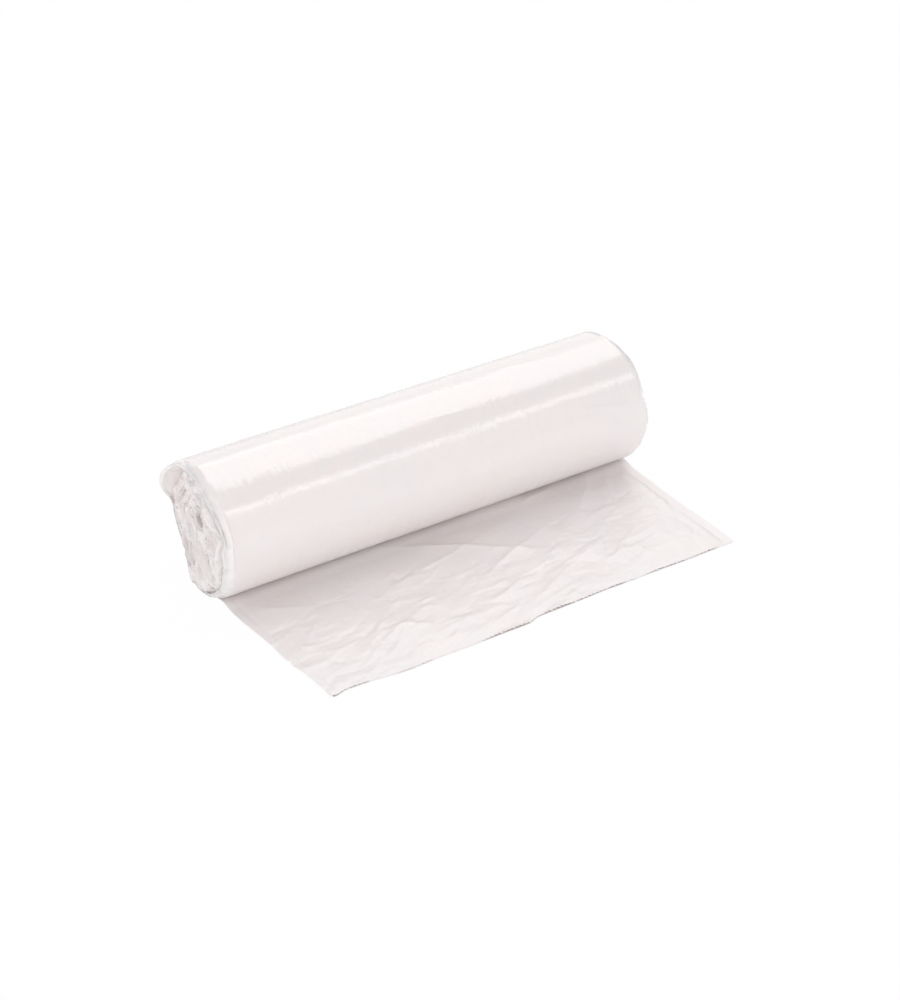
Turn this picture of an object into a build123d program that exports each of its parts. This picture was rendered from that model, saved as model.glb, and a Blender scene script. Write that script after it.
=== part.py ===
"""A coreless roll of thin-film bin bags, with its last bag pulled out flat in front of it.

Millimetres, +Z up. X runs along the roll, the loose end reaches towards -Y, and the origin lies
on the ground in the middle of the footprint. The bags are one continuous perforated web, so the
wound turns and the loose end are a single solid.
"""
import os
from math import floor, sqrt

from build123d import *

# The wound roll
roll_length = 210.0  # width of the web, a bag folded to a quarter of its width
roll_radius = 30.0
flat_spot_width = 12.0  # the soft roll settles on a strip this wide
shoulder_radius = 6.0  # the turns taper off at both ends
rim_width = 5.0  # flat ring between the shoulder and the dished end
dish_depth = 2.5  # how far the turns sink towards the middle of each end

# The eye, where the winding mandrel was drawn out and the film closed in again
eye_width = 9.0
eye_height = 6.0
eye_depth = 14.0  # from the end of the roll to where the film has closed

# The spiral line along which the turns part at each end
winding_pitch = 5.0
winding_gap = 0.8
winding_gap_depth = 1.5  # below the bottom of the dish
eye_clearance = 2.0  # between the eye and the first turn of the gap

# The loose end
film_thickness = 0.8  # eight crinkled plies and the air between them
loose_reach = 93.0  # from the roll's axis to the furthest point of the torn edge
left_inset = 10.5  # the left edge runs in by this much at the front
torn_step = 1.5  # the torn edge steps back here
torn_step_from = -2.0
torn_step_to = 3.5
corner_tab_width = 7.5  # a scrap of the next bag left on the corner
corner_tab_depth = 1.3
corner_tab_notch = 2.5  # how far the edge beside the scrap lies behind the furthest point
torn_bow_length = 30.0  # from the scrap, the torn edge takes this long to come fully out

# Places that follow from the sizes above
half_length = roll_length / 2
axis_height = sqrt(roll_radius**2 - (flat_spot_width / 2) ** 2)
axis_y = (loose_reach - roll_radius) / 2
front_y = axis_y - loose_reach
left_front_x = -half_length + left_inset
corner_tab_end_x = left_front_x + corner_tab_width
rim_inner_radius = roll_radius - shoulder_radius - rim_width

roll_axis = Axis((0, axis_y, axis_height), (1, 0, 0))
lengthwise = Plane(origin=(0, axis_y, axis_height), x_dir=(1, 0, 0), z_dir=(0, -1, 0))

# The gap's spiral is made of half circles, each half a pitch wider than the one before it
first_turn_radius = max(eye_width, eye_height) / 2 + eye_clearance
last_turn_radius = roll_radius - shoulder_radius - winding_gap
half_turns = floor(2 * (last_turn_radius - first_turn_radius) / winding_pitch)


def half_turn(number: int, offset: float) -> Edge:
    """One half circle of the winding spiral, `offset` outside its inner wall."""
    is_lower = number % 2
    centre = (is_lower * winding_pitch / 2, 0)
    radius = first_turn_radius + number * winding_pitch / 2 + offset
    return CenterArc(centre, radius, 180 * is_lower, 180)


with BuildPart() as bin_bag_roll:
    # The turns: half a section, from the axis out over the rim and the shoulder, turned round
    with BuildSketch(lengthwise):
        with BuildLine():
            dish = Line((half_length - dish_depth, 0), (half_length, rim_inner_radius))
            rim = Line(dish @ 1, (half_length, roll_radius - shoulder_radius))
            shoulder = JernArc(rim @ 1, (0, 1), shoulder_radius, 90)
            top = Line(shoulder @ 1, (0, roll_radius))
            Line(top @ 1, (0, 0))
            Line((0, 0), dish @ 0)
        make_face()
        mirror(about=Plane.YZ)
    revolve(axis=roll_axis)

    # The flat spot that the roll settles on
    split(bisect_by=Plane.XY, keep=Keep.TOP)

    # The loose end, which runs out from under the roll
    with BuildSketch(Plane.XY):
        with BuildLine():
            Polyline(
                (-half_length, axis_y),
                (left_front_x, front_y + corner_tab_notch - corner_tab_depth),
                (corner_tab_end_x, front_y + corner_tab_notch),
                (corner_tab_end_x + torn_bow_length, front_y),
                (torn_step_from, front_y),
                (torn_step_to, front_y + torn_step),
                (half_length, front_y + torn_step),
                (half_length, axis_y),
                close=True,
            )
        make_face()
    extrude(amount=film_thickness)

    # The turns wind the same way at both ends, so both are cut with one outline, looking along +X
    for end_x, into_roll in ((-half_length, -1), (half_length, 1)):
        end_plane = Plane(origin=(end_x, axis_y, axis_height), x_dir=(0, -1, 0), z_dir=(-1, 0, 0))

        # The closed-in eye
        with BuildSketch(end_plane):
            Ellipse(eye_width / 2, eye_height / 2)
        extrude(amount=into_roll * eye_depth, mode=Mode.SUBTRACT)

        # The parted turns
        with BuildSketch(end_plane):
            with BuildLine():
                inner_wall = [half_turn(number, 0) for number in range(half_turns)]
                outer_wall = [half_turn(number, winding_gap) for number in range(half_turns)]
                Line(inner_wall[0] @ 0, outer_wall[0] @ 0)
                Line(inner_wall[-1] @ 1, outer_wall[-1] @ 1)
            make_face()
        extrude(amount=into_roll * (dish_depth + winding_gap_depth), mode=Mode.SUBTRACT)

bin_bag_roll.part.label = "bin_bag_roll"

os.makedirs("parts", exist_ok=True)
export_step(bin_bag_roll.part, "parts/bin_bag_roll.step")
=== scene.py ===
"""Looks of a coreless roll of thin white bin bags: the wound film, its crumpled ends, and the
last bag's folded end pulled out flat in front, with the torn line of perforations along its edge.

Everything is in metres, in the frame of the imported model: X along the roll, -Y towards the
loose end, Z up from the ground.
"""

import logging
import math
from dataclasses import dataclass
from enum import Enum

import bpy
import numpy as np
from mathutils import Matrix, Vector


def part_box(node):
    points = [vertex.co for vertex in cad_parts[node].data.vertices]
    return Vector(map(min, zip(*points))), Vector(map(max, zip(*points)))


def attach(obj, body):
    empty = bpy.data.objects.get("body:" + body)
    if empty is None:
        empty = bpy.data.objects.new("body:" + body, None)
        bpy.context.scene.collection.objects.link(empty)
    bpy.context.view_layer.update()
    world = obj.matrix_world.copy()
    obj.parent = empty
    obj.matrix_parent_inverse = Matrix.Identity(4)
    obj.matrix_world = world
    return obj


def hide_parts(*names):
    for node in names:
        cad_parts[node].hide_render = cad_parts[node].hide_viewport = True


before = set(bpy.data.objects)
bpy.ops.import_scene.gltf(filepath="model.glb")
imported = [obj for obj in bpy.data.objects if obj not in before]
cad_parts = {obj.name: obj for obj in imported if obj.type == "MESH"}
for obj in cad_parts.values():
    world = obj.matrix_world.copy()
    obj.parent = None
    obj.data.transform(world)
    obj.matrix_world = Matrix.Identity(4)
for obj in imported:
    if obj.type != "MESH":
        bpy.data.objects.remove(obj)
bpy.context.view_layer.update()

LOG = logging.getLogger("bin_bag_roll")
MM = 0.001
ROLL_NODE = "bin_bag_roll"
FLAT_SPOT_WIDTH = 12 * MM
CUT_EDGE_ANGLE = math.radians(55)


class End(Enum):
    """The two ends of the roll, by the sign of X."""

    LEFT = -1
    RIGHT = 1


class LampUse(Enum):
    """What a lamp is seen in: the film's colour, its shine, or both."""

    BOTH = "both"
    COLOUR = "colour"
    SHINE = "shine"


@dataclass(frozen=True)
class RollSpace:
    """Where the roll and its loose end lie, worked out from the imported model's box."""

    half_length: float
    radius: float
    axis_y: float
    axis_z: float
    front_y: float

    @classmethod
    def from_frame(cls, node: str) -> "RollSpace":
        """Read the roll's place off its node.

        Args:
            node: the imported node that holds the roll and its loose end.

        Returns:
            The roll's half length, radius and axis, and the furthest line of the loose end.
        """
        low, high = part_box(node)
        height, half_flat = high[2] - low[2], FLAT_SPOT_WIDTH / 2
        radius = (height**2 + half_flat**2) / (2 * height)
        return cls((high[0] - low[0]) / 2, radius, high[1] - radius, high[2] - radius, low[1])


class Crinkle:
    """Smooth seeded noise in space, from -1 to 1, that is the same on every run."""

    LATTICE_MIX = (374761393, 668265263, 1440662683, 974634777)
    SCRAMBLE = 1274126177
    WORD = 0xFFFFFFFF
    HALF_WORD = 0x7FFFFFFF

    def __init__(self, seed: int) -> None:
        """Keep the seed that tells one noise from another."""
        self.seed = seed

    def _corner(self, x: np.ndarray, y: np.ndarray, z: np.ndarray) -> np.ndarray:
        """The noise's value at whole-numbered corners of its lattice.

        Args:
            x: the corners' first coordinates.
            y: their second coordinates.
            z: their third coordinates.

        Returns:
            One value for each corner, from -1 to 1.
        """
        by_x, by_y, by_z, by_seed = self.LATTICE_MIX
        n = (x * by_x + y * by_y + z * by_z + self.seed * by_seed) & self.WORD
        n = ((n ^ (n >> 13)) * self.SCRAMBLE) & self.WORD
        return (n ^ (n >> 16)) / self.HALF_WORD - 1.0

    def at(self, points: np.ndarray) -> np.ndarray:
        """Noise at each point.

        Args:
            points: coordinates in wavelengths, one row of three for each point.

        Returns:
            One value for each point.
        """
        base = np.floor(points).astype(np.int64)
        part = points - base
        part = part**3 * (part * (part * 6 - 15) + 10)
        total = np.zeros(len(points))
        for dx in (0, 1):
            for dy in (0, 1):
                for dz in (0, 1):
                    weight = np.ones(len(points))
                    for axis, step in enumerate((dx, dy, dz)):
                        weight = weight * (part[:, axis] if step else 1 - part[:, axis])
                    total += weight * self._corner(base[:, 0] + dx, base[:, 1] + dy, base[:, 2] + dz)
        return total

    def ridged(self, points: np.ndarray) -> np.ndarray:
        """Noise with sharp crests, from 0 in the hollows to 1 on the crests."""
        return 1 - np.abs(self.at(points))


def soft_window(value: np.ndarray, centre: float, half_width: float) -> np.ndarray:
    """A smooth bump, 1 at the centre and 0 beyond the half width.

    Args:
        value: where to read it.
        centre: where it is highest.
        half_width: how far it reaches on either side.

    Returns:
        The bump's height, from 0 to 1.
    """
    reach = np.clip(1 - ((value - centre) / half_width) ** 2, 0, 1)
    return reach**2


def turn_window(angle: np.ndarray, centre_deg: float, half_width_deg: float) -> np.ndarray:
    """A smooth bump around one direction of a circle, whichever way it wraps.

    Args:
        angle: the direction to read it at, in radians.
        centre_deg: the direction where it is highest, in degrees.
        half_width_deg: how far it reaches on either side, in degrees.

    Returns:
        The bump's height, from 0 to 1.
    """
    away = (np.degrees(angle) - centre_deg + 180) % 360 - 180
    return soft_window(away, 0.0, half_width_deg)


def smooth_step(value: np.ndarray, low: float, high: float) -> np.ndarray:
    """0 below the low value, 1 above the high one, and smooth between.

    Args:
        value: where to read it.
        low: where it leaves 0.
        high: where it reaches 1.

    Returns:
        The step's height.
    """
    part = np.clip((value - low) / (high - low), 0, 1)
    return part * part * (3 - 2 * part)


def grid_faces(rows: int, columns: int, ring: bool = False) -> np.ndarray:
    """Quads over a grid of points that is stored row by row.

    Args:
        rows: how many rows of points there are.
        columns: how many points there are in a row.
        ring: whether the last column joins the first.

    Returns:
        The four corners of each quad.
    """
    row, column = np.meshgrid(np.arange(rows - 1), np.arange(columns - (not ring)), indexing="ij")
    after = (column + 1) % columns
    a, b = row * columns + column, row * columns + after
    return np.stack([a, b, b + columns, a + columns], -1).reshape(-1, 4)


def make_piece(name: str, points: np.ndarray, faces: list) -> bpy.types.Object:
    """Make a smooth-shaded mesh piece at the origin.

    Args:
        name: the piece's name.
        points: its corners, in metres.
        faces: each face's corners, counted anticlockwise from outside.

    Returns:
        The new object, linked to the scene.
    """
    mesh = bpy.data.meshes.new(name)
    mesh.from_pydata(points.tolist(), [], faces)
    mesh.polygons.foreach_set("use_smooth", [True] * len(mesh.polygons))
    mesh.update()
    piece = bpy.data.objects.new(name, mesh)
    bpy.context.scene.collection.objects.link(piece)
    return piece


def settle_modifiers(piece: bpy.types.Object) -> None:
    """Turn a piece's modifiers into plain mesh and take them off.

    Args:
        piece: the piece, whose mesh is replaced.
    """
    graph = bpy.context.evaluated_depsgraph_get()
    mesh = bpy.data.meshes.new_from_object(piece.evaluated_get(graph))
    piece.modifiers.clear()
    old, piece.data = piece.data, mesh
    mesh.name = piece.name
    bpy.data.meshes.remove(old)
    mesh.polygons.foreach_set("use_smooth", [True] * len(mesh.polygons))


def thicken(piece: bpy.types.Object, film: float) -> None:
    """Give a sheet the film's thickness, inwards from its outer face, with crisp cut edges.

    Args:
        piece: the sheet.
        film: its thickness, in metres.
    """
    wall = piece.modifiers.new("film", "SOLIDIFY")
    wall.thickness, wall.offset = film, -1
    settle_modifiers(piece)
    piece.data.set_sharp_from_angle(angle=CUT_EDGE_ANGLE)


def add_math(tree: bpy.types.NodeTree, operation: str,
             *given: bpy.types.NodeSocket | float) -> bpy.types.NodeSocket:
    """Add one step of arithmetic to a tree of nodes.

    Args:
        tree: the nodes it joins.
        operation: what it works out.
        given: what it works on, each a socket or a plain number.

    Returns:
        The result.
    """
    node = tree.nodes.new("ShaderNodeMath")
    node.operation = operation
    for socket, value in zip(node.inputs, given):
        if isinstance(value, bpy.types.NodeSocket):
            tree.links.new(value, socket)
        else:
            socket.default_value = value
    return node.outputs["Value"]


def start_group(name: str, inputs: dict[str, str]) -> bpy.types.NodeTree:
    """Start a Geometry Nodes group with named inputs and one geometry output.

    Args:
        name: the group's name.
        inputs: each input's name, and what kind of value it takes.

    Returns:
        The group, with no nodes in it yet.
    """
    tree = bpy.data.node_groups.new(name, "GeometryNodeTree")
    for socket, kind in inputs.items():
        tree.interface.new_socket(name=socket, in_out="INPUT", socket_type=f"NodeSocket{kind}")
    tree.interface.new_socket(name="Geometry", in_out="OUTPUT", socket_type="NodeSocketGeometry")
    return tree


def finish_group(tree: bpy.types.NodeTree, given: bpy.types.Node, shape: bpy.types.NodeSocket) -> None:
    """Make a group's shape real, dress it in the given material and send it out.

    Args:
        tree: the group.
        given: its input node.
        shape: the geometry to send out.
    """
    real = tree.nodes.new("GeometryNodeRealizeInstances")
    dress = tree.nodes.new("GeometryNodeSetMaterial")
    result = tree.nodes.new("NodeGroupOutput")
    tree.links.new(shape, real.inputs["Geometry"])
    tree.links.new(real.outputs["Geometry"], dress.inputs["Geometry"])
    tree.links.new(given.outputs["Material"], dress.inputs["Material"])
    tree.links.new(dress.outputs["Geometry"], result.inputs["Geometry"])


def run_group(piece: bpy.types.Object, tree: bpy.types.NodeTree, values: dict) -> None:
    """Run a group on a piece, keep the outcome as plain mesh and drop the group.

    Args:
        piece: the piece that the group works on.
        tree: the group.
        values: the value for each named input.
    """
    modifier = piece.modifiers.new(tree.name, "NODES")
    modifier.node_group = tree
    for socket in tree.interface.items_tree:
        if socket.in_out == "INPUT" and socket.name in values:
            modifier[socket.identifier] = values[socket.name]
    settle_modifiers(piece)
    bpy.data.node_groups.remove(tree)


def hand_over(piece: bpy.types.Object) -> None:
    """Tell the frame what a finished piece rides on and stands for, and log its faces.

    Args:
        piece: the finished piece.
    """
    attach(piece, "root")
    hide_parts(ROLL_NODE)
    LOG.info("%s: %d faces", piece.name, len(piece.data.polygons))


@dataclass(frozen=True)
class FilmFinish:
    """Milky film: a warm white that cools in patches, softly glossy, finely crinkled."""

    name: str
    warm: tuple[float, float, float] = (0.87, 0.815, 0.805)
    cool: tuple[float, float, float] = (0.85, 0.81, 0.82)
    patch_size: float = 26 * MM
    gloss_low: float = 0.10
    gloss_high: float = 0.24
    shine: float = 1.0
    crinkle_size: float = 5 * MM
    crinkle_height: float = 0.12 * MM
    rib_spacing: float = 0.0
    rib_height: float = 0.16 * MM
    milkiness: float = 0.3
    light_depth: float = 5 * MM

    def _noise(self, tree: bpy.types.NodeTree, place: bpy.types.NodeSocket, size: float,
               detail: float, distortion: float = 0.0) -> bpy.types.NodeSocket:
        """Add a noise of one grain size.

        Args:
            tree: the material's nodes.
            place: the coordinates it reads, in metres.
            size: its grain, in metres.
            detail: how many finer grains are laid over the first.
            distortion: how far the grain is drawn out of shape.

        Returns:
            The noise's value, from 0 to 1.
        """
        noise = tree.nodes.new("ShaderNodeTexNoise")
        noise.inputs["Scale"].default_value = 1 / size
        noise.inputs["Detail"].default_value = detail
        noise.inputs["Distortion"].default_value = distortion
        tree.links.new(place, noise.inputs["Vector"])
        return noise.outputs["Fac"]

    def _creases(self, tree: bpy.types.NodeTree, place: bpy.types.NodeSocket,
                 size: float) -> bpy.types.NodeSocket:
        """Add sharp creases, which lie where a noise passes through its middle.

        Args:
            tree: the material's nodes.
            place: the coordinates they read, in metres.
            size: how far apart they lie, in metres.

        Returns:
            A height that is 0 along the creases and rises away from them.
        """
        middle = add_math(tree, "SUBTRACT", self._noise(tree, place, size, 1.5, 0.8), 0.5)
        return add_math(tree, "ABSOLUTE", middle)

    def _bump(self, tree: bpy.types.NodeTree, height: bpy.types.NodeSocket, depth: float,
              under: bpy.types.NodeSocket | None) -> bpy.types.NodeSocket:
        """Raise the surface by a height from 0 to 1, over the bumps already there.

        Args:
            tree: the material's nodes.
            height: the height's socket.
            depth: how high 1 stands, in metres.
            under: the bumps already there, or None.

        Returns:
            The surface's new direction.
        """
        bump = tree.nodes.new("ShaderNodeBump")
        bump.inputs["Strength"].default_value = 1.0
        bump.inputs["Distance"].default_value = depth
        tree.links.new(height, bump.inputs["Height"])
        if under is not None:
            tree.links.new(under, bump.inputs["Normal"])
        return bump.outputs["Normal"]

    def build(self) -> bpy.types.Material:
        """Make the material.

        Returns:
            A material of one shader, with its colour, roughness and bump from nodes.
        """
        material = bpy.data.materials.new(self.name)
        material.use_nodes = True
        tree = material.node_tree
        shader = tree.nodes["Principled BSDF"]
        place = tree.nodes.new("ShaderNodeTexCoord").outputs["Object"]

        tint = tree.nodes.new("ShaderNodeValToRGB")
        tint.color_ramp.elements[0].position = 0.40
        tint.color_ramp.elements[0].color = (*self.warm, 1)
        tint.color_ramp.elements[1].position = 0.78
        tint.color_ramp.elements[1].color = (*self.cool, 1)
        tree.links.new(self._noise(tree, place, self.patch_size, 3, 0.6), tint.inputs["Fac"])
        tree.links.new(tint.outputs["Color"], shader.inputs["Base Color"])

        gloss = tree.nodes.new("ShaderNodeMapRange")
        gloss.inputs["To Min"].default_value = self.gloss_low
        gloss.inputs["To Max"].default_value = self.gloss_high
        tree.links.new(self._noise(tree, place, self.crinkle_size * 1.7, 4), gloss.inputs["Value"])
        tree.links.new(gloss.outputs["Result"], shader.inputs["Roughness"])

        normal = self._bump(tree, self._creases(tree, place, self.crinkle_size), self.crinkle_height, None)
        fine = self._creases(tree, place, self.crinkle_size / 2.7)
        normal = self._bump(tree, fine, self.crinkle_height * 0.4, normal)
        if self.rib_spacing:
            along = tree.nodes.new("ShaderNodeMapping")
            along.inputs["Scale"].default_value = (1.0, 0.12, 0.12)
            tree.links.new(place, along.inputs["Vector"])
            ribs = self._noise(tree, along.outputs["Vector"], self.rib_spacing, 2)
            normal = self._bump(tree, ribs, self.rib_height, normal)
        tree.links.new(normal, shader.inputs["Normal"])

        shader.inputs["IOR"].default_value = 1.6
        shader.inputs["Specular IOR Level"].default_value = self.shine
        shader.inputs["Subsurface Weight"].default_value = self.milkiness
        shader.inputs["Subsurface Radius"].default_value = (1.0, 0.9, 0.85)
        shader.inputs["Subsurface Scale"].default_value = self.light_depth
        return material


@dataclass
class WoundTurns:
    """The wound roll's outside, closed, with a soft lip of film around a hollow at each end."""

    space: RollSpace
    around: int = 300
    shoulder: float = 4.5 * MM
    lip_overhang: float = 0.3 * MM
    lip_wall: float = 0.6 * MM
    hollow_radius: float = 27.4 * MM
    lip_turn: float = math.radians(80)
    flare_out: float = 0.3 * MM
    flare_spread: float = 1.2 * MM
    pleat_depth: float = 1.5 * MM
    wall_depth: float = 1.6 * MM
    gap_depth: float = 0.3 * MM
    eye_depth: float = 11 * MM
    eye_rise: float = 5.5 * MM
    dish: float = 2.6 * MM
    rounding: float = 1.5 * MM
    side_rows: int = 185
    shoulder_rows: int = 18
    rest_height: float = 0.35 * MM
    floor_shares: tuple[float, ...] = (0.02, 0.07, 0.11, 0.13, 0.15, *np.linspace(0.17, 0.985, 44).tolist())
    left_pits: tuple[tuple[float, ...], ...] = ((-129, 9, 4, 3.5), (28, 18, 3.5, 3.0), (156, 17, 10, 2.5),
                                                (-60, 15, 3, 2.0), (100, 22, 4, 2.5))

    def tuck(self, end: End, angle: np.ndarray) -> np.ndarray:
        """How far the lip is tucked in at each direction, from 0, flared, to 1."""
        flare = 0.95 * turn_window(angle, 142, 48) if end is End.LEFT else 0.5 * turn_window(angle, 20, 40)
        return 1 - flare

    def dent(self, end: End, angle: np.ndarray) -> np.ndarray:
        """How far the end is pushed in at each direction.

        Args:
            end: which end.
            angle: the direction from the roll's axis.

        Returns:
            The distance at each, in metres, below 0 where the end bulges.
        """
        if end is End.LEFT:
            return 5.0 * MM * turn_window(angle, -145, 55) - 1.0 * MM * turn_window(angle, 150, 50)
        return 3.0 * MM * turn_window(angle, 120, 70)

    def surface_depth(self, end: End, angle: np.ndarray, share: np.ndarray) -> np.ndarray:
        """How far in the edges of the turns lie at one end.

        Args:
            end: which end.
            angle: the direction from the roll's axis.
            share: the distance from the axis, 1 at the hollow's wall.

        Returns:
            The depth below the roll's end, in metres.
        """
        depth = self.dish * (1 - share**2) ** 1.5 + self.rounding * smooth_step(share, 0.78, 1.0)
        depth = depth + self.dent(end, angle) * share
        if end is End.LEFT:
            depth = depth - 2.4 * MM * turn_window(angle, -100, 75) * smooth_step(share, 0.55, 0.9)
        return depth + 6 * MM * (1 - self.tuck(end, angle)) * smooth_step(share, 0.15, 0.8)

    def _lip_rows(self, end: End, angle: np.ndarray) -> list[tuple[np.ndarray, np.ndarray]]:
        """The end's rows, from the pole of the hollow out over the lip to the side.

        Args:
            end: which end.
            angle: the direction of each column.

        Returns:
            For each row, how far in it lies from the roll's end, and its radius.
        """
        pleats, waves = Crinkle(11 + end.value), Crinkle(31 + end.value)
        ring = np.stack([np.cos(angle), np.sin(angle), np.full_like(angle, 0.5)], -1)
        tuck, dent = self.tuck(end, angle), self.dent(end, angle)
        wave = 1.3 * MM * waves.at(ring * 2.3) + 0.5 * MM * waves.at(ring * 6)
        over = []
        for part in np.linspace(1, 0, self.shoulder_rows, endpoint=False):
            swing = part * self.lip_turn
            tucked_in = self.shoulder * (1 - math.sin(swing))
            tucked_radius = self.space.radius - self.shoulder * (1 - math.cos(swing))
            tucked_radius -= self.lip_overhang * part**3
            flared_in = self.shoulder - (self.shoulder + self.flare_out) * part
            flared_radius = self.space.radius - self.flare_spread * part**2
            inward = tuck * tucked_in + (1 - tuck) * flared_in
            radius = tuck * tucked_radius + (1 - tuck) * flared_radius
            pleat = pleats.ridged(ring * (5.5 + 2 * part)) - 0.6
            pleat = pleat + 0.5 * (pleats.ridged(ring * 13) - 0.6)
            radius = radius + self.pleat_depth * part**1.3 * pleat
            if end is End.LEFT:  # one soft fold over the shoulder, with a groove inside it
                fold, groove = (soft_window(np.float64(part), centre, 0.2) for centre in (0.28, 0.6))
                radius = radius + turn_window(angle, 17, 46) * MM * (1.0 * fold - 0.9 * groove)
            over.append((inward + (dent + wave) * part**0.6, radius))
        lip_in, lip_radius = over[0]
        inside = []
        for part in (1.0, 0.6, 0.25):
            depth = lip_in + part * self.wall_depth
            wall = lip_radius - self.lip_wall
            inside.append((depth, wall + (self.hollow_radius - wall) * smooth_step(part, 0.0, 0.5)))
        floor = [self._floor_row(end, angle, share) for share in self.floor_shares]
        return floor + inside + over

    def _floor_row(self, end: End, angle: np.ndarray, share: float) -> tuple[np.ndarray, np.ndarray]:
        """One row of the crumpled film between the eye and the lip.

        Args:
            end: which end.
            angle: the direction of each column.
            share: the row's distance from the axis, 1 at the hollow's wall.

        Returns:
            How far in each point lies from the roll's end, and its radius.
        """
        folds, pleats = Crinkle(81 + end.value), Crinkle(91 + end.value)
        radius = self.hollow_radius * share
        ring = np.stack([np.cos(angle), np.sin(angle), np.full_like(angle, 0.5)], -1)
        flat = ring * (radius, radius, 1.0)
        grain = np.array([8 * MM, 8 * MM, 1.0])
        lift = 2.6 * MM * (folds.ridged(flat / grain) - 0.65)
        lift += 1.3 * MM * (folds.ridged(flat / grain * (2.7, 2.7, 4.0)) - 0.65)
        lift += 1.3 * MM * share * (pleats.ridged(ring * 5.5) - 0.6)
        depth = self.surface_depth(end, angle, share) + self.gap_depth
        around_eye = smooth_step(share, 0.11, 0.19)
        depth = depth - lift * around_eye + self.eye_depth * (1 - around_eye)
        if end is End.LEFT:
            for turn, away, reach, sunk in self.left_pits:
                place = np.array([math.cos(math.radians(turn)), math.sin(math.radians(turn))]) * away * MM
                gap = np.hypot(flat[:, 0] - place[0], flat[:, 1] - place[1])
                depth = depth + sunk * MM * soft_window(gap, 0.0, reach * MM)
        depth = depth + 0.6 * MM * smooth_step(share, 0.9, 1.0)
        out_of_round = 1 + 0.35 * (1 - share) ** 2 * folds.at(ring * 1.3)
        return depth, radius * out_of_round

    def centre_rise(self, radius: np.ndarray) -> np.ndarray:
        """How far the crumpled middle of an end stands above the roll's axis."""
        share = np.clip(radius / self.hollow_radius, 0, 1)
        return self.eye_rise * (1 - share**2) ** 2

    def _side_radius(self, x: np.ndarray, angle: np.ndarray) -> np.ndarray:
        """The side's radius: slow waves, ribs round the roll, and a few long tight creases.

        Args:
            x: places along the roll, in metres.
            angle: the direction of each from the roll's axis.

        Returns:
            The radius at each, in metres.
        """
        slow, ribs, gate = Crinkle(3), Crinkle(4), Crinkle(5)
        ring = np.stack([x / (55 * MM), 1.6 * np.cos(angle), 1.6 * np.sin(angle)], -1)
        radius = self.space.radius - 0.3 * MM + 0.28 * MM * slow.at(ring)
        for spacing, height in ((9.0, 0.07), (4.2, 0.06), (2.2, 0.035)):
            lane = np.stack([x / (spacing * MM), 1.3 * np.cos(angle), 1.3 * np.sin(angle)], -1)
            where = smooth_step(gate.at(lane * (0.35, 1.4, 1.4)), -0.5, 0.6)
            radius += height * MM * ribs.at(lane) * where
        return radius + self._creases(x, angle)

    def _creases(self, x: np.ndarray, angle: np.ndarray) -> np.ndarray:
        """Thin creases that cross the side, each from one place to another.

        Args:
            x: places along the roll, in metres.
            angle: the direction of each from the roll's axis.

        Returns:
            How far the creases raise each place, in metres.
        """
        height = np.zeros_like(x)
        creases = (  # from x and direction to x and direction, height and half width
            (62, 33, 97, 20, 0.30, 1.1),
            (-32, 78, 0, 66, 0.22, 1.0),
            (-6, 64, 22, 61, 0.18, 0.8),
            (-84, 62, -48, 74, 0.20, 1.0),
            (35, 96, 80, 84, 0.20, 1.2),
            (-70, 12, -20, -8, 0.10, 2.0),
            (-60, 150, 10, 128, 0.25, 1.4),
            (20, 170, 85, 190, 0.25, 1.4),
            (-90, 205, -35, 178, 0.22, 1.2),
        )
        arc = np.degrees(angle) % 360
        for x_from, turn_from, x_to, turn_to, rise, half_width in creases:
            length = (x_to - x_from) * MM
            part = (x - x_from * MM) / length
            across = (arc - (turn_from + part * (turn_to - turn_from)) + 180) % 360 - 180
            across = np.radians(across) * self.space.radius / (half_width * MM)
            fade = soft_window(part, 0.5, 0.55)
            height += rise * MM * fade * (np.exp(-np.abs(across)) - 0.6 * np.exp(-np.abs(across - 1.6)))
        return height

    def build(self) -> bpy.types.Object:
        """Make the closed body of turns.

        Returns:
            The piece, one watertight mesh.
        """
        angle = np.linspace(0, 2 * math.pi, self.around, endpoint=False)
        half = self.space.half_length
        left = [(-half + deep, radius) for deep, radius in self._lip_rows(End.LEFT, angle)]
        right = [(half - deep, radius) for deep, radius in self._lip_rows(End.RIGHT, angle)]
        side_x = np.linspace(-half + self.shoulder, half - self.shoulder, self.side_rows)
        side = [(np.full_like(angle, x), None) for x in side_x]
        rows = left + side + right[::-1]
        points = []
        for x, radius in rows:
            skin = self._side_radius(x, angle)
            if radius is None:
                radius = skin
            else:
                near = smooth_step(radius, self.hollow_radius, self.space.radius)
                radius = radius + near * (skin - self.space.radius)
            y = self.space.axis_y - radius * np.cos(angle)
            z = self.space.axis_z + radius * np.sin(angle) + self.centre_rise(radius)
            z = np.maximum(z, self.rest_height + 0.05 * MM * np.sin(x / (7 * MM)))
            points.append(np.stack([x, y, z], -1))
        cloud = np.concatenate(points)
        count = self.around
        last = (len(rows) - 1) * count
        poles = np.array([cloud[:count].mean(0), cloud[last:].mean(0)])
        faces = grid_faces(len(rows), count, ring=True)[:, ::-1].tolist()
        left_pole, right_pole = len(cloud), len(cloud) + 1
        faces += [[left_pole, i, (i + 1) % count] for i in range(count)]
        faces += [[right_pole, last + (i + 1) % count, last + i] for i in range(count)]
        return make_piece("wound_turns", np.concatenate([cloud, poles]), faces)


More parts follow.
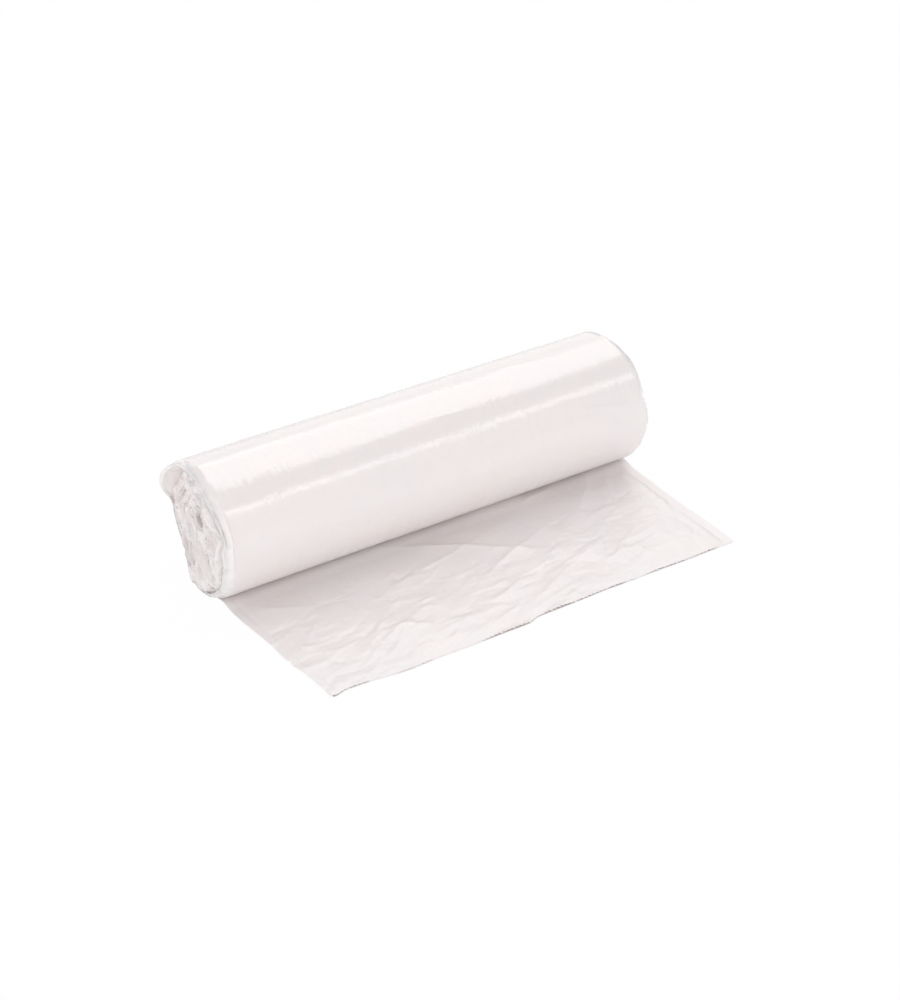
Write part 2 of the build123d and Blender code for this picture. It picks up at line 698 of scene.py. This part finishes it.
@dataclass
class EndTurns:
    """The edges of the inner turns at one end: a crumpled spiral ribbon around the eye."""

    space: RollSpace
    skin: WoundTurns
    end: End
    turns: float = 11.0
    eye_radius: float = 4.0 * MM
    outer_radius: float = 27.4 * MM
    film: float = 0.3 * MM
    depth: float = 5 * MM
    steps_per_turn: int = 180
    crumple: float = 4.6 * MM
    proud: float = 0.5 * MM

    def _tree(self) -> bpy.types.NodeTree:
        """Build the Geometry Nodes that wind the ribbon and crumple its outer edge.

        Returns:
            A node tree with the ribbon's sizes as named inputs.
        """
        tree = start_group("end_turns", {
            "Turns": "Float", "Steps per turn": "Int", "Eye radius": "Float", "Outer radius": "Float",
            "Film": "Float", "Depth": "Float", "Crumple": "Float", "Seed": "Float",
            "Material": "Material"})
        add, link = tree.nodes.new, tree.links.new
        given = add("NodeGroupInput")

        spiral = add("GeometryNodeCurveSpiral")
        link(given.outputs["Steps per turn"], spiral.inputs["Resolution"])
        link(given.outputs["Turns"], spiral.inputs["Rotations"])
        link(given.outputs["Eye radius"], spiral.inputs["Start Radius"])
        link(given.outputs["Outer radius"], spiral.inputs["End Radius"])
        spiral.inputs["Height"].default_value = 0.0

        section = add("GeometryNodeCurvePrimitiveQuadrilateral")
        link(given.outputs["Film"], section.inputs["Width"])
        link(given.outputs["Depth"], section.inputs["Height"])
        finer = add("GeometryNodeSubdivideCurve")
        finer.inputs["Cuts"].default_value = 4
        link(section.outputs["Curve"], finer.inputs["Curve"])
        ribbon = add("GeometryNodeCurveToMesh")
        ribbon.inputs["Fill Caps"].default_value = True
        link(spiral.outputs["Curve"], ribbon.inputs["Curve"])
        link(finer.outputs["Curve"], ribbon.inputs["Profile Curve"])

        place = add("GeometryNodeInputPosition")
        parts = add("ShaderNodeSeparateXYZ")
        link(place.outputs["Position"], parts.inputs["Vector"])
        rise = add_math(tree, "DIVIDE", parts.outputs["Z"], given.outputs["Depth"])
        edge = add("ShaderNodeMapRange")
        edge.interpolation_type = "SMOOTHSTEP"
        edge.inputs["From Min"].default_value = -0.5
        edge.inputs["From Max"].default_value = 0.5
        link(rise, edge.inputs["Value"])
        amount = add_math(tree, "MULTIPLY", edge.outputs["Result"], given.outputs["Crumple"])

        moved = ribbon.outputs["Mesh"]
        for grain, share in ((9 * MM, 1.0), (3.4 * MM, 0.35)):
            noise = add("ShaderNodeTexNoise")
            noise.noise_dimensions = "4D"
            noise.inputs["Scale"].default_value = 1 / grain
            noise.inputs["Detail"].default_value = 1.0
            link(place.outputs["Position"], noise.inputs["Vector"])
            link(given.outputs["Seed"], noise.inputs["W"])
            centred = add("ShaderNodeVectorMath")
            centred.operation = "SUBTRACT"
            centred.inputs[1].default_value = (0.5, 0.5, 0.5)
            link(noise.outputs["Color"], centred.inputs[0])
            sized = add("ShaderNodeVectorMath")
            sized.operation = "SCALE"
            link(centred.outputs["Vector"], sized.inputs[0])
            link(add_math(tree, "MULTIPLY", amount, share), sized.inputs["Scale"])
            shift = add("GeometryNodeSetPosition")
            link(moved, shift.inputs["Geometry"])
            link(sized.outputs["Vector"], shift.inputs["Offset"])
            moved = shift.outputs["Geometry"]

        finish_group(tree, given, moved)
        return tree

    def build(self, material: bpy.types.Material) -> bpy.types.Object:
        """Wind the ribbon, then lay it into the roll's end.

        Args:
            material: the film that the ribbon is made of.

        Returns:
            The piece, a plain mesh.
        """
        piece = make_piece(f"{self.end.name.lower()}_end_turns", np.zeros((1, 3)), [])
        values = {"Turns": self.turns, "Steps per turn": self.steps_per_turn, "Film": self.film,
                  "Eye radius": self.eye_radius, "Outer radius": self.outer_radius,
                  "Depth": self.depth, "Crumple": self.crumple, "Seed": 4.0 + self.end.value,
                  "Material": material}
        run_group(piece, self._tree(), values)
        self._seat(piece.data)
        return piece

    def _seat(self, mesh: bpy.types.Mesh) -> None:
        """Stand the flat spiral up in the roll's end, dished, dented and kept inside the skin.

        Args:
            mesh: the ribbon, wound flat around the origin.
        """
        flat = np.empty(len(mesh.vertices) * 3)
        mesh.vertices.foreach_get("co", flat)
        flat = flat.reshape(-1, 3)
        angle = np.arctan2(flat[:, 1], flat[:, 0])
        radius = np.hypot(flat[:, 0], flat[:, 1])
        share = np.clip(radius / self.outer_radius, 0, 1)
        out = flat[:, 2] - self.depth / 2 + self.proud - self.skin.surface_depth(self.end, angle, share)
        out -= 2.5 * MM * (1 - self.skin.tuck(self.end, angle))
        squeeze = np.minimum(1, self.outer_radius / np.maximum(radius, 1e-6))
        x = self.end.value * (self.space.half_length + out)
        y = self.space.axis_y - flat[:, 0] * squeeze
        z = self.space.axis_z + flat[:, 1] * squeeze + self.skin.centre_rise(radius)
        mesh.vertices.foreach_set("co", np.stack([x, y, z], -1).ravel())
        if self.end is End.RIGHT:
            mesh.flip_normals()
        mesh.update()


@dataclass(frozen=True)
class Fold:
    """One loose fold of film across a roll's end, from one place on it to another."""

    turn_from: float
    radius_from: float
    turn_to: float
    radius_to: float
    width: float
    height: float
    lean: float = 0.0


@dataclass
class EndFolds:
    """The loose folds that lie over the edges of the turns at one end."""

    space: RollSpace
    skin: WoundTurns
    end: End
    folds: tuple[Fold, ...]
    steps_along: int = 36
    steps_across: int = 16
    film: float = 0.15 * MM
    hollow_reach: float = 26 * MM
    lowest: float = 0.4 * MM

    def _one(self, fold: Fold, number: int) -> np.ndarray:
        """Points over one arched fold.

        Args:
            fold: where it lies and how big it is.
            number: its place among the end's folds, which seeds its crumple.

        Returns:
            The points, row by row along it.
        """
        along, across = np.meshgrid(np.linspace(0, 1, self.steps_along),
                                    np.linspace(-1, 1, self.steps_across), indexing="ij")
        start, finish = ((math.radians(t), r * MM) for t, r in
                         ((fold.turn_from, fold.radius_from), (fold.turn_to, fold.radius_to)))
        a = np.array([math.cos(start[0]), math.sin(start[0])]) * start[1]
        b = np.array([math.cos(finish[0]), math.sin(finish[0])]) * finish[1]
        way = (b - a) / np.linalg.norm(b - a)
        beside = np.array([-way[1], way[0]])
        crinkle = Crinkle(70 + number)
        taper = np.sin(math.pi * np.clip(along, 0.02, 0.98)) ** 0.45
        wander = crinkle.at(np.stack([along.ravel() * 3.1, np.zeros(along.size), np.zeros(along.size)], -1))
        side = fold.width * MM / 2 * across * taper + 1.1 * MM * wander.reshape(along.shape)
        spot = a + along[..., None] * (b - a) + side[..., None] * beside
        arch = np.clip(1 - np.abs(across) ** 1.7, 0, 1) ** 0.8
        grain = (along.ravel() * 7, across.ravel() * 2.6, np.full(along.size, 9.5))
        rough = crinkle.ridged(np.stack(grain, -1))
        lift = fold.height * MM * taper * (arch + fold.lean * across * arch)
        lift = lift * (0.55 + 0.8 * rough.reshape(along.shape)) - 1.3 * MM
        radius = np.hypot(spot[..., 0], spot[..., 1])
        angle = np.arctan2(spot[..., 1], spot[..., 0])
        share = np.clip(radius / self.hollow_reach, 0, 1)
        out = lift - self.skin.surface_depth(self.end, angle, share)
        x = self.end.value * (self.space.half_length + out)
        y = self.space.axis_y - spot[..., 0]
        z = self.space.axis_z + spot[..., 1] + self.skin.centre_rise(radius)
        return np.stack([x, y, np.maximum(z, self.lowest)], -1).reshape(-1, 3)

    def build(self) -> bpy.types.Object:
        """Make all the end's folds.

        Returns:
            The piece, of thin film.
        """
        points, faces = [], []
        quads = grid_faces(self.steps_along, self.steps_across)
        if self.end is End.LEFT:
            quads = quads[:, ::-1]
        for number, fold in enumerate(self.folds):
            faces += (quads + number * self.steps_along * self.steps_across).tolist()
            points.append(self._one(fold, number))
        piece = make_piece(f"{self.end.name.lower()}_end_folds", np.concatenate(points), faces)
        thicken(piece, self.film)
        return piece


@dataclass(frozen=True)
class Wrinkle:
    """One wrinkle of the loose end, in millimetres from the roll's middle and axis."""

    x_from: float
    out_from: float
    x_to: float
    out_to: float
    rise: float
    half_width: float


@dataclass
class LooseEnd:
    """The last bag's folded end, laid out in front: a wrinkled top ply over the plies below."""

    space: RollSpace
    columns: int = 320
    rows: int = 140
    film: float = 0.07 * MM
    rest_height: float = 0.24 * MM
    under_roll: float = 4 * MM
    strip_width: float = 3.2 * MM
    left_back: float = 103.3 * MM
    left_front: float = 94.5 * MM
    right_back: float = 103.6 * MM
    right_front: float = 105.0 * MM
    scattered: int = 270
    width_from_left: float = 0.2
    width_from_right: float = 0.208
    under_rows: int = 50
    under_columns: int = 110
    under_film: float = 0.04 * MM
    under_step: float = 0.05 * MM

    wrinkles: tuple[Wrinkle, ...] = (
        Wrinkle(-30, 12, 38, 56, 0.42, 1.3),
        Wrinkle(-37, 33, -50, 50, -0.35, 2.2),
        Wrinkle(-31, 35, -33, 45, -0.30, 1.3),
        Wrinkle(-63, 67, -48, 60, 0.55, 1.5),
        Wrinkle(-55, 66, -35, 72, 0.60, 1.4),
        Wrinkle(-40, 63, -20, 60, 0.50, 1.4),
        Wrinkle(-28, 75, -10, 72, -0.45, 1.2),
        Wrinkle(-6, 72, 19, 66, 0.80, 1.6),
        Wrinkle(14, 72, 40, 62, -0.60, 1.1),
        Wrinkle(-90, 57, -82, 61, 0.40, 1.2),
        Wrinkle(-86, 74, -78, 74, -0.35, 1.2),
        Wrinkle(51, 73, 67, 72, 0.55, 1.7),
        Wrinkle(66, 72, 71, 81, 0.45, 1.6),
        Wrinkle(33, 66, 48, 72, -0.35, 1.4),
        Wrinkle(98, 14, 88, 50, 0.60, 2.2),
        Wrinkle(84, 12, 56, 47, 0.65, 2.6),
        Wrinkle(92, 12, 74, 52, 0.45, 1.8),
        Wrinkle(96, 16, 100, 62, 0.40, 1.6),
        Wrinkle(40, 22, 62, 14, 0.40, 2.2),
        Wrinkle(-60, 50, 30, 26, 0.35, 1.2),
        Wrinkle(-74, 80, -20, 56, 0.40, 1.0),
        Wrinkle(-10, 62, 52, 34, 0.40, 1.0),
        Wrinkle(0, 84, 60, 60, 0.35, 1.0),
        Wrinkle(96, 48, 90, 66, -0.45, 1.3),
        Wrinkle(99, 54, 95, 76, -0.40, 1.2),
        Wrinkle(-95, 22, -70, 40, 0.35, 2.6),
    )

    def torn_edge(self, x: np.ndarray) -> np.ndarray:
        """How far short of the furthest line the torn edge lies.

        Args:
            x: places along the roll, in metres.

        Returns:
            The shortfall at each, in metres.
        """
        short = 1.5 * MM * smooth_step(x, -2 * MM, 3.5 * MM)
        short += 2.5 * MM * (1 - smooth_step(x, -87 * MM, -57 * MM))
        short -= 1.3 * MM * (1 - smooth_step(x, -92 * MM, -87 * MM))
        short += 0.7 * MM * soft_window(x, 38 * MM, 34 * MM)
        return short + 0.25 * MM * np.sin(x / (6 * MM)) * np.sin(x / (17 * MM) + 1)

    def outline(self, across: np.ndarray, along: np.ndarray, spread: float, back: float) -> tuple:
        """Places on the ground for shares across and along the loose end.

        Args:
            across: 0 at the left edge, 1 at the right.
            along: 0 at the torn edge, 1 at the back, under the roll.
            spread: how far this ply stands out past the top one at the sides.
            back: how far this ply's torn edge lies behind the top one's.

        Returns:
            The x and y of each place, in metres.
        """
        left = -(self.left_front + (self.left_back - self.left_front) * along) - spread
        right = self.right_front + (self.right_back - self.right_front) * along + spread
        left = left + 0.35 * MM * np.sin(along * 17) + 1.1 * MM * soft_window(along, 0.29, 0.012)
        x = left + (right - left) * across
        front = self.space.front_y + self.torn_edge(x) + back
        y = front + (self.space.axis_y + self.under_roll - front) * along
        return x, y

    def _wrinkled(self, x: np.ndarray, out: np.ndarray) -> np.ndarray:
        """Height of the chosen and the scattered wrinkles.

        Args:
            x: places along the roll, in metres.
            out: how far each lies in front of the roll's axis, in metres.

        Returns:
            The height at each, in metres.
        """
        height = np.zeros_like(x)
        chance = np.random.default_rng(17)
        scattered = []
        for _ in range(self.scattered):
            middle_x, middle_out = chance.uniform(-100, 102), 34 + 58 * chance.random() ** 0.8
            length, lean = chance.uniform(7, 40), math.radians(chance.normal(19, 14))
            dx, dy = length / 2 * math.cos(lean), length / 2 * math.sin(lean)
            rise = chance.uniform(0.04, 0.22) * chance.choice((-1, 1))
            scattered.append(Wrinkle(middle_x - dx, middle_out + dy, middle_x + dx, middle_out - dy,
                                     rise, chance.uniform(0.4, 0.95)))
        for w in (*self.wrinkles, *scattered):
            start = np.array([w.x_from, w.out_from]) * MM
            run = np.array([w.x_to, w.out_to]) * MM - start
            length = float(np.hypot(*run))
            part = ((x - start[0]) * run[0] + (out - start[1]) * run[1]) / length**2
            across = ((x - start[0]) * run[1] - (out - start[1]) * run[0]) / length
            across = across + 0.9 * MM * np.sin(part * 7 + w.x_from)
            across = across / (w.half_width * MM)
            steep = np.where(across > 0, 1.0, 0.45)
            height += 1.8 * w.rise * MM * soft_window(part, 0.5, 0.62) * np.exp(-np.abs(across) * steep)
        return height

    def height(self, x: np.ndarray, y: np.ndarray, across: np.ndarray) -> np.ndarray:
        """Height of the top ply above the ground.

        Args:
            x: places along the roll, in metres.
            y: places towards the torn edge, in metres.
            across: the same places as shares, 0 at the left edge and 1 at the right.

        Returns:
            The height at each, in metres.
        """
        out = self.space.axis_y - y
        broad, crumple, tight = Crinkle(21), Crinkle(22), Crinkle(23)
        flat = np.stack([x.ravel(), 1.5 * y.ravel(), np.zeros(x.size)], -1)
        lit = smooth_step(out, 20 * MM, 55 * MM).ravel()
        height = 0.55 * MM * (broad.at(flat / (34 * MM)) + 0.3)
        height += (0.10 + 0.16 * lit) * MM * (crumple.ridged(flat / (11 * MM)) - 0.6)
        height += (0.05 + 0.08 * lit) * MM * (tight.ridged(flat / (4.6 * MM)) - 0.6)
        height = height.reshape(x.shape) + self._wrinkled(x, out)
        edge = out - (self.space.axis_y - self.space.front_y)
        hem = np.exp(-np.abs(edge) / (3.5 * MM))
        height += hem * MM * (0.6 * soft_window(x, -12 * MM, 16 * MM) + 0.12 * np.sin(x / (11 * MM)))
        from_left = across * self.width_from_left
        from_right = (1 - across) * self.width_from_right
        strip = smooth_step(-from_left, -self.strip_width - 0.5 * MM, -self.strip_width + 0.5 * MM)
        height += strip * 0.22 * MM * (1 + 0.5 * np.sin(y / (1.9 * MM)) * np.sin(y / (5.3 * MM)))
        height += 0.5 * MM * np.exp(-from_right / (1.3 * MM))
        height -= 0.35 * MM * np.exp(-np.abs(from_right - 4 * MM) / (0.8 * MM))
        inland = smooth_step(np.minimum(np.minimum(from_left, from_right), -edge), 0, 6 * MM)
        free = smooth_step(out, 2 * MM, 16 * MM)
        pressed = 0.13 * MM * np.exp(-np.minimum(from_left, from_right) / (0.5 * MM))
        height = self.rest_height - pressed + (np.maximum(height, -0.4 * MM) + 0.45 * MM * inland) * free
        beside = smooth_step(np.minimum(from_left, from_right), 0.2 * MM, 1.0 * MM)
        height = np.maximum(height, 0.09 * MM + 0.17 * MM * beside)
        height += 1.0 * MM * soft_window(out, 14 * MM, 8 * MM)
        under = 1 - smooth_step(out, 1 * MM, 8 * MM)
        return height * (1 - under) + 0.26 * MM * under

    def build_top_ply(self) -> bpy.types.Object:
        """Make the wrinkled top ply.

        Returns:
            The piece, a thin closed sheet.
        """
        steps = (np.linspace(0, 1, count) for count in (self.rows, self.columns))
        along, across = np.meshgrid(*steps, indexing="ij")
        x, y = self.outline(across, along, 0.0, 0.0)
        z = self.height(x, y, across)
        return self._sheet("loose_end_top_ply", np.stack([x, y, z], -1), self.film)

    def build_under_ply(self, number: int, spread: float, back: float) -> bpy.types.Object:
        """Make one of the plies below, whose edges show past the top one's here and there.

        Args:
            number: its place in the stack, 0 lowest.
            spread: how far it stands out past the top ply at the sides.
            back: how far its torn edge lies behind the top one's.

        Returns:
            The piece, a thin closed sheet.
        """
        steps = (np.linspace(0, 1, count) for count in (self.under_rows, self.under_columns))
        along, across = np.meshgrid(*steps, indexing="ij")
        x, y = self.outline(across, along, spread, back)
        waves = Crinkle(50 + number).at(np.stack([x.ravel(), y.ravel(), np.zeros(x.size)], -1) / (16 * MM))
        z = self.under_step + self.under_step * number + 0.01 * MM * (1 + waves.reshape(x.shape))
        return self._sheet(f"loose_end_ply_{number + 1}", np.stack([x, y, z], -1), self.under_film)

    def _sheet(self, name: str, cloud: np.ndarray, film: float) -> bpy.types.Object:
        """Make one thin closed sheet from a grid of points.

        Args:
            name: the sheet's name.
            cloud: the points of its outer face, by row and column.
            film: its thickness, in metres.

        Returns:
            The piece.
        """
        rows, columns = cloud.shape[:2]
        piece = make_piece(name, cloud.reshape(-1, 3), grid_faces(rows, columns).tolist())
        thicken(piece, film)
        return piece


@dataclass
class TornTabs:
    """The film's torn tabs, left along the line of perforations between two bags."""

    loose: LooseEnd
    spacing: float = 2.0 * MM
    tab: tuple[float, float, float] = (1.15 * MM, 1.5 * MM, 0.1 * MM)
    line_points: int = 400
    sunk: float = 0.07 * MM
    set_back: float = 0.15 * MM
    lowest: float = 0.02 * MM
    corner_angle: float = math.radians(40)

    def _tree(self) -> bpy.types.NodeTree:
        """Build the Geometry Nodes that set a tab at each step along a line.

        Returns:
            A node tree with the tabs' size and spacing as named inputs.
        """
        tree = start_group("torn_tabs", {"Line": "Geometry", "Spacing": "Float", "Tab": "Vector",
                                         "Seed": "Int", "Material": "Material"})
        add, link = tree.nodes.new, tree.links.new
        given = add("NodeGroupInput")
        curve, steps = add("GeometryNodeMeshToCurve"), add("GeometryNodeResampleCurve")
        steps.mode = "LENGTH"
        link(given.outputs["Line"], curve.inputs["Mesh"])
        link(curve.outputs["Curve"], steps.inputs["Curve"])
        link(given.outputs["Spacing"], steps.inputs["Length"])
        tab = add("GeometryNodeMeshCube")
        link(given.outputs["Tab"], tab.inputs["Size"])
        set_out = add("GeometryNodeInstanceOnPoints")
        link(steps.outputs["Curve"], set_out.inputs["Points"])
        link(tab.outputs["Mesh"], set_out.inputs["Instance"])
        for socket, low, high in (("Rotation", (-0.12, -0.1, -0.2), (0.12, 0.1, 0.2)),
                                  ("Scale", (0.5, 0.35, 1.0), (1.15, 1.0, 1.0))):
            spread = add("FunctionNodeRandomValue")
            spread.data_type = "FLOAT_VECTOR"
            spread.inputs[0].default_value, spread.inputs[1].default_value = low, high
            link(given.outputs["Seed"], spread.inputs["Seed"])
            link(spread.outputs[0], set_out.inputs[socket])
        finish_group(tree, given, set_out.outputs["Instances"])
        return tree

    def build(self, material: bpy.types.Material) -> bpy.types.Object:
        """Set the tabs along the top ply's torn edge.

        Args:
            material: the film that the tabs are made of.

        Returns:
            The piece, a plain mesh.
        """
        across = np.linspace(0.002, 0.998, self.line_points)[None, :]
        x, y = self.loose.outline(across, np.zeros_like(across), 0.0, 0.0)
        z = self.loose.height(x, y, across) - self.sunk
        line = np.stack([x.ravel(), y.ravel() + self.set_back, z.ravel()], -1)
        piece = make_piece("torn_tabs", np.zeros((1, 3)), [])
        piece.data.clear_geometry()
        piece.data.from_pydata(line.tolist(), [(i, i + 1) for i in range(len(line) - 1)], [])
        values = {"Spacing": self.spacing, "Tab": self.tab, "Seed": 6, "Material": material}
        run_group(piece, self._tree(), values)
        for corner in piece.data.vertices:
            corner.co.z = max(corner.co.z, self.lowest)
        piece.data.set_sharp_from_angle(angle=self.corner_angle)
        return piece


@dataclass
class Studio:
    """A white floor, soft lamps and the camera, in surroundings that are white to the camera alone.

    The surroundings light the film at sky_level, and show in its shine at sky_shine.
    """

    space: RollSpace
    azimuth: float = math.radians(-32.57)
    elevation: float = math.radians(32.94)
    distance: float = 919.4 * MM
    lens: float = 74.8
    sky_level: float = 0.71
    sky_shine: float = 0.42
    floor_span: float = 3.0
    floor_drop: float = 0.05 * MM
    floor_glow: float = 0.97

    def build_camera(self) -> None:
        """Set the camera at the viewing angle."""
        target = Vector((19 * MM, self.space.axis_y, 1.4 * MM))
        out = Vector((math.sin(self.azimuth) * math.cos(self.elevation),
                      -math.cos(self.azimuth) * math.cos(self.elevation), math.sin(self.elevation)))
        data = bpy.data.cameras.new("camera")
        data.lens = self.lens
        camera = bpy.data.objects.new("camera", data)
        camera.location = target + out * self.distance
        camera.rotation_euler = (-out).to_track_quat("-Z", "Y").to_euler()
        bpy.context.scene.collection.objects.link(camera)
        bpy.context.scene.camera = camera

    def build_floor(self) -> None:
        """Lay a floor that glows white to the camera, so that only a trace of shadow shows on it."""
        span = self.floor_span
        points = np.array([(-span, -span, 0), (span, -span, 0), (span, span, 0), (-span, span, 0)])
        floor = make_piece("floor", points - (0, 0, self.floor_drop), [[0, 1, 2, 3]])
        material = bpy.data.materials.new("floor_paper")
        material.use_nodes = True
        tree = material.node_tree
        paper = tree.nodes["Principled BSDF"]
        paper.inputs["Base Color"].default_value = (0.95, 0.95, 0.95, 1)
        paper.inputs["Roughness"].default_value = 0.9
        paper.inputs["Specular IOR Level"].default_value = 0.0
        glow = tree.nodes.new("ShaderNodeEmission")
        glow.inputs["Strength"].default_value = 1.0
        ray = tree.nodes.new("ShaderNodeLightPath")
        share = add_math(tree, "MULTIPLY", ray.outputs["Is Camera Ray"], self.floor_glow)
        mix = tree.nodes.new("ShaderNodeMixShader")
        tree.links.new(share, mix.inputs["Fac"])
        tree.links.new(paper.outputs["BSDF"], mix.inputs[1])
        tree.links.new(glow.outputs["Emission"], mix.inputs[2])
        tree.links.new(mix.outputs["Shader"], tree.nodes["Material Output"].inputs["Surface"])
        floor.data.materials.append(material)

    def _softbox(self, name: str, place: tuple, size: tuple, watts: float,
                 use: LampUse = LampUse.BOTH) -> None:
        """Hang one soft lamp that faces the roll.

        Args:
            name: the lamp's name.
            place: where it hangs, from the roll's middle, in metres.
            size: its width and height, in metres.
            watts: its power.
            use: what the lamp is seen in.
        """
        data = bpy.data.lights.new(name, "AREA")
        data.shape = "RECTANGLE"
        data.size, data.size_y = size
        data.energy = watts
        lamp = bpy.data.objects.new(name, data)
        aim = Vector((0, self.space.axis_y, self.space.axis_z))
        lamp.location = aim + Vector(place)
        turn = (aim - lamp.location).to_track_quat("-Z", "Y")
        lamp.rotation_euler = turn.to_euler()
        lamp.visible_diffuse = use is not LampUse.SHINE
        lamp.visible_glossy = use is not LampUse.COLOUR
        bpy.context.scene.collection.objects.link(lamp)

    def build_light(self) -> None:
        """Light the roll from above and behind, with soft fills in front and at the left."""
        self._softbox("key_overhead", (0.45, 0.45, 0.97), (1.00, 1.02), 3.4)
        self._softbox("glint_overhead", (0.45, 0.45, 0.96), (1.00, 1.00), 1.2, LampUse.SHINE)
        self._softbox("glint_rear", (0.55, 1.30, 0.45), (1.60, 1.00), 4.4, LampUse.SHINE)
        self._softbox("glint_strip", (0.42, -0.74, 0.77), (0.90, 0.12), 0.62, LampUse.SHINE)
        self._softbox("fill_front", (0.0, -1.36, 0.36), (2.20, 1.40), 3.4)
        self._softbox("fill_low", (0.0, -1.40, 0.10), (2.20, 0.25), 2.3, LampUse.COLOUR)
        self._softbox("fill_left", (-1.25, -0.25, 0.45), (1.20, 1.00), 3.8, LampUse.COLOUR)
        world = bpy.data.worlds.new("studio")
        world.use_nodes = True
        tree = world.node_tree
        sky = tree.nodes["Background"]
        sky.inputs["Color"].default_value = (1, 1, 1, 1)
        ray = tree.nodes.new("ShaderNodeLightPath")
        strength = self.sky_level
        for ray_kind, level in (("Is Glossy Ray", self.sky_shine), ("Is Camera Ray", 1.0)):
            seen = tree.nodes.new("ShaderNodeMapRange")
            seen.inputs["To Max"].default_value = level
            tree.links.new(ray.outputs[ray_kind], seen.inputs["Value"])
            if isinstance(strength, float):
                seen.inputs["To Min"].default_value = strength
            else:
                tree.links.new(strength, seen.inputs["To Min"])
            strength = seen.outputs["Result"]
        tree.links.new(strength, sky.inputs["Strength"])
        bpy.context.scene.world = world
        bpy.context.scene.view_settings.view_transform = "Standard"


LEFT_FOLDS = (
    Fold(70, 27, 20, 25, 6.0, 3.6, 0.3),
    Fold(25, 25, -32, 26, 5.5, 3.2, -0.2),
    Fold(-5, 24, -30, 10, 6.5, 3.4, 0.4),
    Fold(-45, 27, -150, 17, 5.0, 3.0, 0.2),
    Fold(-70, 27, -170, 14, 4.0, 2.4, -0.3),
    Fold(60, 20, 15, 12, 4.0, 2.2, 0.1),
    Fold(120, 15, 178, 18, 5.0, 2.6, 0.2),
    Fold(170, 22, -130, 21, 5.0, 2.4, -0.2),
    Fold(100, 24, 130, 10, 5.0, 2.6, 0.4),
)
RIGHT_FOLDS = (
    Fold(110, 26, 40, 24, 6.0, 3.0, 0.2),
    Fold(-20, 26, -80, 24, 5.0, 2.8, -0.2),
    Fold(-110, 25, 170, 22, 6.0, 2.6, 0.3),
    Fold(150, 22, 80, 12, 4.5, 2.2, -0.1),
    Fold(10, 20, -60, 12, 4.5, 2.2, 0.3),
)


# How far each lower ply spreads out past the top one at the sides, and how far its torn edge is set back.
UNDER_PLIES = ((-1.6 * MM, 0.5 * MM), (-1.3 * MM, 1.3 * MM), (-1.1 * MM, -0.5 * MM))


def main() -> None:
    """Build and dress every piece, then the studio around them."""
    logging.basicConfig(level=logging.INFO, format="%(name)s: %(message)s")
    space = RollSpace.from_frame(ROLL_NODE)
    studio = Studio(space)
    studio.build_camera()

    side_film = FilmFinish("wound_film", rib_spacing=2.6 * MM, crinkle_height=0.13 * MM,
                           milkiness=0.5).build()
    end_film = FilmFinish("end_film", patch_size=9 * MM, crinkle_size=3 * MM, milkiness=0.0).build()
    loose_film = FilmFinish("loose_film", patch_size=22 * MM, crinkle_size=4 * MM, gloss_low=0.24,
                            gloss_high=0.44, shine=0.8, milkiness=0.0).build()

    skin = WoundTurns(space)
    turns = skin.build()
    turns.data.materials.append(side_film)
    hand_over(turns)

    for end, folds in ((End.LEFT, LEFT_FOLDS), (End.RIGHT, RIGHT_FOLDS)):
        ribbon = EndTurns(space, skin, end).build(end_film)
        hand_over(ribbon)
        cover = EndFolds(space, skin, end, folds).build()
        cover.data.materials.append(end_film)
        hand_over(cover)

    loose = LooseEnd(space)
    top = loose.build_top_ply()
    top.data.materials.append(loose_film)
    hand_over(top)
    tabs = TornTabs(loose).build(loose_film)
    hand_over(tabs)
    for number, (spread, back) in enumerate(UNDER_PLIES):
        ply = loose.build_under_ply(number, spread, back)
        ply.data.materials.append(loose_film)
        hand_over(ply)

    studio.build_floor()
    studio.build_light()


if __name__ == "__main__":
    main()
